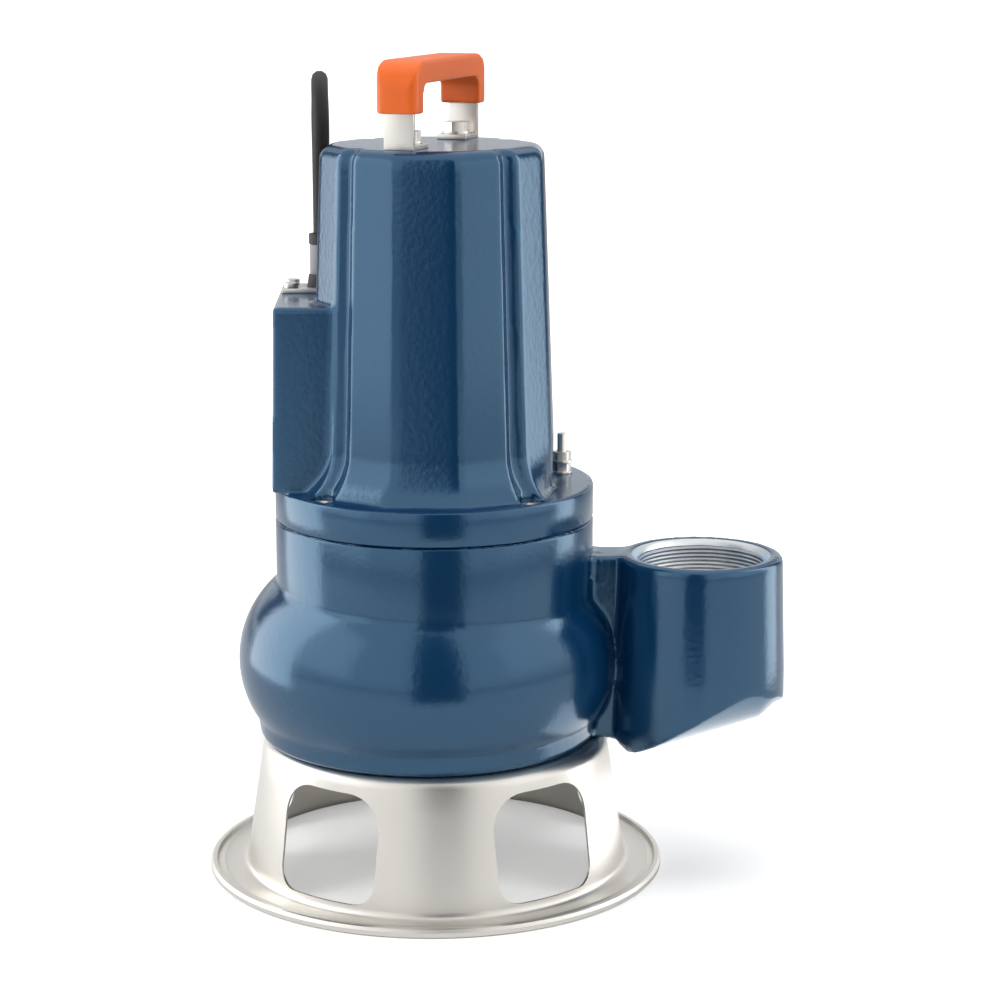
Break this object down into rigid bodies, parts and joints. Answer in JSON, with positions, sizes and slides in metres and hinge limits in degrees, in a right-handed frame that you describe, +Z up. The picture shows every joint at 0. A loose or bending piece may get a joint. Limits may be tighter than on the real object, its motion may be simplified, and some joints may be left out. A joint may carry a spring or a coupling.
{
  "type": "submersible water pump",
  "caption": "Submersible vortex pump: ribbed motor casing over a cast volute with a vertical threaded outlet, on a windowed drawn steel foot, with lifting handle and cable.",
  "frame": {"origin": "on the shaft axis, at the floor on which the foot stands", "axes": "+Z up along the shaft axis, +X from the shaft axis towards the outlet's side, +Y to the rear; the picture looks along +Y"},
  "size_m": [0.3386, 0.4993, 0.4751],
  "materials": {
    "blue_enamel": "semi-gloss enamel on cast iron, fine orange-peel texture",
    "stainless": "satin drawn stainless steel",
    "bright_steel": "ground steel",
    "cast_iron": "machined grey iron",
    "lamination": "stacked electrical sheet, lightly oiled",
    "copper": "varnished copper wire",
    "cast_aluminium": "die-cast, matt",
    "carbon": "lapped ceramic and graphite",
    "brass": "satin",
    "black_rubber": "matt",
    "cable_jacket": "smooth matt rubber sheath",
    "grey_plastic": "moulded, matt",
    "orange_plastic": "moulded, half gloss"
  },
  "bodies": {
    "pump": {"foot": "stainless", "foot_screws": "stainless", "pump_body": "blue_enamel", "seal_plate": "cast_iron", "oil_plug": "bright_steel", "lower_seal_seat": "carbon", "upper_seal_seat": "carbon", "bearing_bracket": "cast_iron", "o_rings": "black_rubber", "lower_bearing_outer": "bright_steel", "stator_core": "lamination", "windings": "copper", "upper_bearing_outer": "bright_steel", "wave_washer": "bright_steel", "motor_casing": "blue_enamel", "casing_screws": "stainless", "earth_stud": "stainless", "earth_nuts": "stainless", "clamp_plate": "stainless", "clamp_screws": "stainless", "gland_rubber": "black_rubber", "gland_sleeve": "grey_plastic", "gland_collar": "black_rubber", "handle_strap": "stainless", "handle_grip": "orange_plastic", "handle_screws": "stainless", "cable": "cable_jacket", "cable_coil": "cable_jacket", "cable_tail": "cable_jacket", "plug_boot": "black_rubber", "plug_body": "black_rubber", "plug_pins": "brass"},
    "rotor": {"shaft": "stainless", "rotor_core": "lamination", "rotor_end_rings": "cast_aluminium", "impeller": "cast_iron", "impeller_key": "bright_steel", "impeller_washer": "stainless", "impeller_nut": "stainless", "lower_seal_ring": "carbon", "seal_spring": "bright_steel", "upper_seal_ring": "carbon", "lower_bearing_inner": "bright_steel", "upper_bearing_inner": "bright_steel"},
    "lower_balls": {"lower_bearing_balls": "bright_steel", "lower_bearing_cage": "brass"},
    "upper_balls": {"upper_bearing_balls": "bright_steel", "upper_bearing_cage": "brass"}
  },
  "joints": [
    {"name": "rotor_spin", "type": "hinge", "parent": "pump", "child": "rotor", "pos_m": [0, 0, 0.15], "axis": [0, 0, 1], "continuous": true},
    {"name": "lower_cage_spin", "type": "hinge", "parent": "pump", "child": "lower_balls", "pos_m": [0, 0, 0.233], "axis": [0, 0, 1], "continuous": true},
    {"name": "upper_cage_spin", "type": "hinge", "parent": "pump", "child": "upper_balls", "pos_m": [0, 0, 0.3975], "axis": [0, 0, 1], "continuous": true}
  ],
  "couplings": [
    {"joint": "lower_cage_spin", "follows": "rotor_spin", "ratio": 0.3806},
    {"joint": "upper_cage_spin", "follows": "rotor_spin", "ratio": 0.38}
  ]
}
